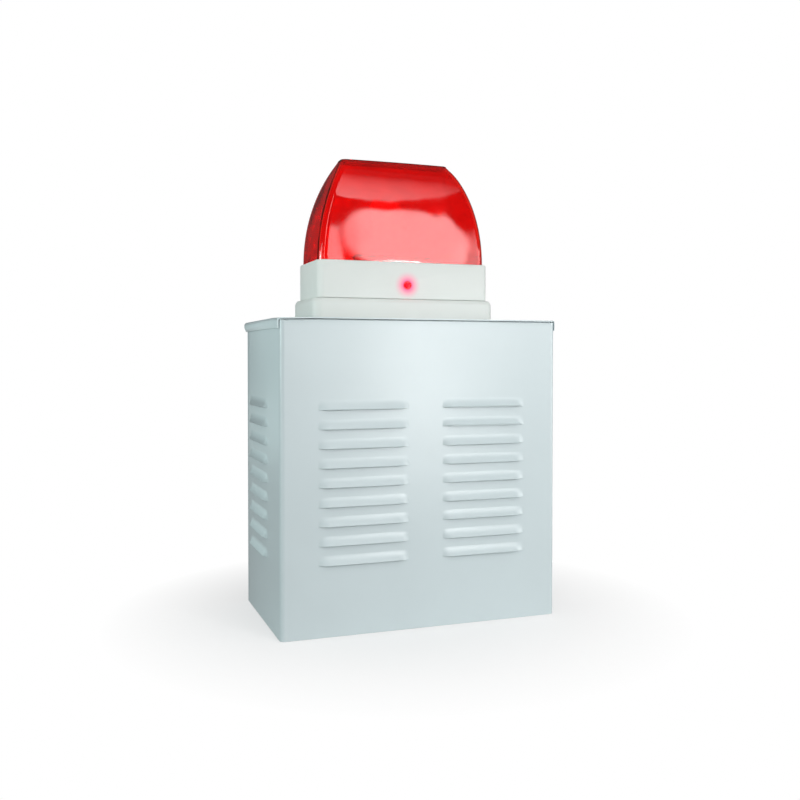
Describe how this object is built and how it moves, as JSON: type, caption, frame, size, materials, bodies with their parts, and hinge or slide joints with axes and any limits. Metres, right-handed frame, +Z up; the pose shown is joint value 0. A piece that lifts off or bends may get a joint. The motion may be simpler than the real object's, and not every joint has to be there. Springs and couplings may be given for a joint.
{
  "type": "alarm siren",
  "caption": "Wall-hung alarm siren: louvred steel case with a swing-up cover, horn siren and battery inside, and a red strobe beacon on top.",
  "frame": {"origin": "under the middle of the case at floor level, centred over its louvres and back plate", "axes": "+Z up through the beacon, -Y out of the louvred front, +Y into the wall, +X to the right seen from the front"},
  "size_m": [0.294, 0.1625, 0.4672],
  "materials": {
    "case_paint": "light grey powder coat, soft gloss",
    "zinc_plate": "zinc plated",
    "beacon_white": "smooth white moulding",
    "lens_red": "clear red gloss",
    "lamp_red": "clear red lamp",
    "black_rubber": "matt black",
    "horn_plastic": "grey moulding",
    "battery_case": "satin black",
    "board_green": "green solder mask",
    "clear_glass": "clear",
    "reflector_silver": "bright",
    "relay_blue": "blue moulding",
    "terminal_green": "green moulding",
    "switch_black": "black moulding",
    "plunger_cream": "cream nylon",
    "lead_red": "red insulation",
    "lead_black": "black insulation",
    "lead_grey": "grey insulation"
  },
  "bodies": {
    "chassis": {"back_plate": "case_paint", "battery": "battery_case", "battery_lead_black": "lead_black", "battery_lead_red": "lead_red", "battery_shelf": "case_paint", "battery_strap": "zinc_plate", "battery_terminal_black": "zinc_plate", "battery_terminal_red": "zinc_plate", "beacon_bolt_1": "zinc_plate", "beacon_bolt_2": "zinc_plate", "beacon_bolt_3": "zinc_plate", "beacon_bolt_4": "zinc_plate", "beacon_collar": "beacon_white", "beacon_gasket": "black_rubber", "beacon_grommet": "black_rubber", "beacon_lead": "lead_grey", "beacon_plinth": "beacon_white", "board_standoff_1": "zinc_plate", "board_standoff_2": "zinc_plate", "board_standoff_3": "zinc_plate", "board_standoff_4": "zinc_plate", "cable_grommet": "black_rubber", "capacitor": "switch_black", "control_board": "board_green", "cover_hook_left": "zinc_plate", "cover_hook_right": "zinc_plate", "cover_screw_bracket": "zinc_plate", "driver_cap": "horn_plastic", "driver_housing": "horn_plastic", "fuse_holder": "switch_black", "horn_bell": "horn_plastic", "horn_bracket": "zinc_plate", "horn_screw_left": "zinc_plate", "horn_screw_right": "zinc_plate", "lamp_holder": "switch_black", "lens": "lens_red", "lens_seal": "black_rubber", "phase_plug": "horn_plastic", "reflector": "reflector_silver", "relay": "relay_blue", "siren_lead": "lead_grey", "status_lamp": "lamp_red", "strobe_tube": "clear_glass", "tamper_bracket": "zinc_plate", "tamper_switch": "switch_black", "terminal_block": "terminal_green", "top_panel": "case_paint", "tube_holder_left": "beacon_white", "tube_holder_right": "beacon_white", "wall_tamper_switch": "switch_black", "weld_nut_left": "zinc_plate", "weld_nut_right": "zinc_plate"},
    "cover": {"cover_wrap": "case_paint", "cover_floor": "case_paint", "cover_screw_left": "zinc_plate", "cover_screw_right": "zinc_plate"},
    "tamper_plunger": {"tamper_plunger": "plunger_cream"},
    "wall_tamper_pin": {"wall_tamper_pin": "plunger_cream"}
  },
  "joints": [
    {"name": "cover_hinge", "type": "hinge", "parent": "chassis", "child": "cover", "pos_m": [0, -0.07675, 0.2985], "axis": [-1, 0, 0], "range_deg": [0, 60]},
    {"name": "tamper_travel", "type": "slide", "parent": "chassis", "child": "tamper_plunger", "axis": [0, 0, -1], "range_m": [0, 0.003]},
    {"name": "wall_pin_travel", "type": "slide", "parent": "chassis", "child": "wall_tamper_pin", "axis": [0, 1, 0], "range_m": [0, 0.003]}
  ],
  "couplings": [
    {"joint": "tamper_travel", "follows": "cover_hinge", "m_per_rad": 0.0024}
  ]
}
